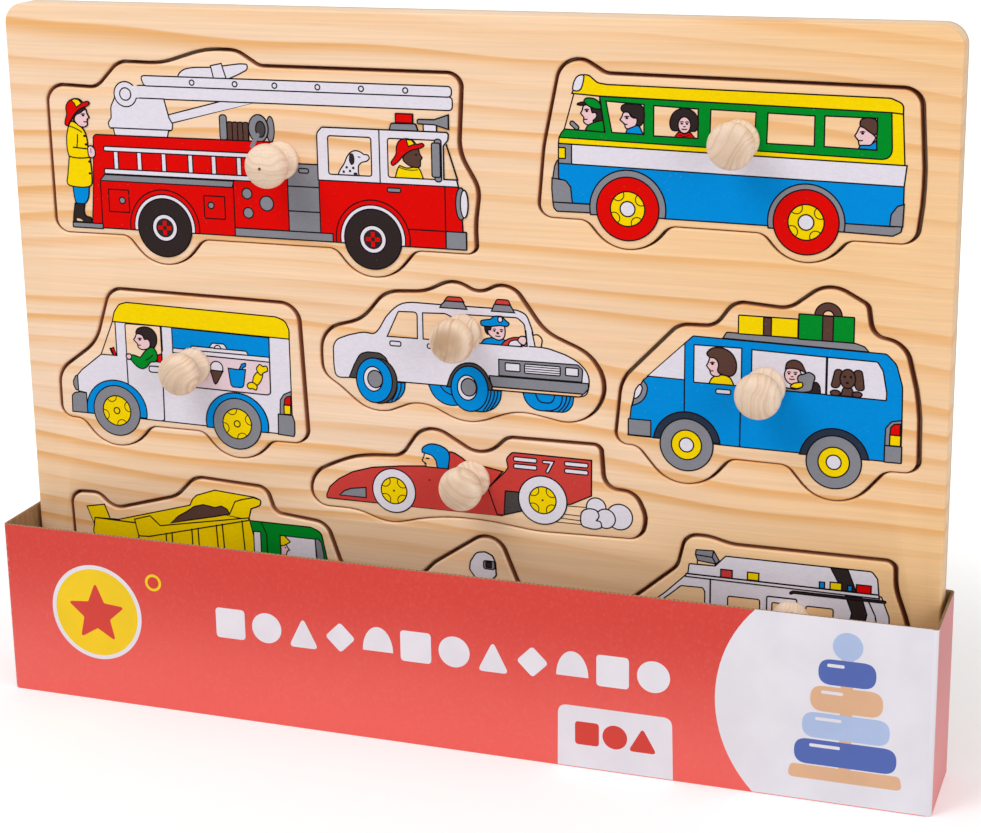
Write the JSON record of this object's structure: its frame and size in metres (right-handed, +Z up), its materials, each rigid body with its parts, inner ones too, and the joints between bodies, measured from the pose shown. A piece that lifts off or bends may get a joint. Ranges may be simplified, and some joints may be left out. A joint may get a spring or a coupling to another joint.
{
  "type": "wooden vehicle puzzle",
  "caption": "Upright wooden peg puzzle with printed lift-out vehicles, each on a turned knob, standing in an open printed carton sleeve.",
  "frame": {"origin": "on the ground, under the middle of the carton sleeve", "axes": "+X along the board to the right as seen from the front, +Y from the printed front to the back, +Z up"},
  "size_m": [0.3046, 0.0324, 0.2268],
  "materials": {
    "red_card": "printed",
    "pale_pine": "varnished",
    "birch_plywood": "sanded",
    "beech": "sanded",
    "screw_steel": "zinc plated",
    "fire_engine_print": "printed and varnished",
    "bus_print": "printed and varnished",
    "ice_cream_van_print": "printed and varnished",
    "police_car_print": "printed and varnished",
    "camper_van_print": "printed and varnished",
    "racing_car_print": "printed and varnished",
    "tipper_truck_print": "printed and varnished",
    "motorcycle_print": "printed and varnished",
    "motorhome_print": "printed and varnished"
  },
  "bodies": {
    "sleeve": {"carton_sleeve": "red_card"},
    "board": {"board_frame": "pale_pine", "board_backing": "birch_plywood"},
    "fire_engine": {"fire_engine": "fire_engine_print", "fire_engine_knob": "beech", "fire_engine_screw": "screw_steel"},
    "bus": {"bus": "bus_print", "bus_knob": "beech", "bus_screw": "screw_steel"},
    "ice_cream_van": {"ice_cream_van": "ice_cream_van_print", "ice_cream_van_knob": "beech", "ice_cream_van_screw": "screw_steel"},
    "police_car": {"police_car": "police_car_print", "police_car_knob": "beech", "police_car_screw": "screw_steel"},
    "camper_van": {"camper_van": "camper_van_print", "camper_van_knob": "beech", "camper_van_screw": "screw_steel"},
    "racing_car": {"racing_car": "racing_car_print", "racing_car_knob": "beech", "racing_car_screw": "screw_steel"},
    "tipper_truck": {"tipper_truck": "tipper_truck_print", "tipper_truck_knob": "beech", "tipper_truck_screw": "screw_steel"},
    "motorcycle": {"motorcycle": "motorcycle_print", "motorcycle_knob": "beech", "motorcycle_screw": "screw_steel"},
    "motorhome": {"motorhome": "motorhome_print", "motorhome_knob": "beech", "motorhome_screw": "screw_steel"}
  },
  "joints": [
    {"name": "board_lift", "type": "slide", "parent": "sleeve", "child": "board", "axis": [0, 0, 1], "range_m": [0, 0.07]},
    {"name": "fire_engine_lift_out", "type": "slide", "parent": "board", "child": "fire_engine", "axis": [0, -1, 0], "range_m": [0, 0.03]},
    {"name": "bus_lift_out", "type": "slide", "parent": "board", "child": "bus", "axis": [0, -1, 0], "range_m": [0, 0.03]},
    {"name": "ice_cream_van_lift_out", "type": "slide", "parent": "board", "child": "ice_cream_van", "axis": [0, -1, 0], "range_m": [0, 0.03]},
    {"name": "police_car_lift_out", "type": "slide", "parent": "board", "child": "police_car", "axis": [0, -1, 0], "range_m": [0, 0.03]},
    {"name": "camper_van_lift_out", "type": "slide", "parent": "board", "child": "camper_van", "axis": [0, -1, 0], "range_m": [0, 0.03]},
    {"name": "racing_car_lift_out", "type": "slide", "parent": "board", "child": "racing_car", "axis": [0, -1, 0], "range_m": [0, 0.03]},
    {"name": "tipper_truck_lift_out", "type": "slide", "parent": "board", "child": "tipper_truck", "axis": [0, -1, 0], "range_m": [0, 0.0016]},
    {"name": "motorcycle_lift_out", "type": "slide", "parent": "board", "child": "motorcycle", "axis": [0, -1, 0], "range_m": [0, 0.0016]},
    {"name": "motorhome_lift_out", "type": "slide", "parent": "board", "child": "motorhome", "axis": [0, -1, 0], "range_m": [0, 0.0016]}
  ]
}
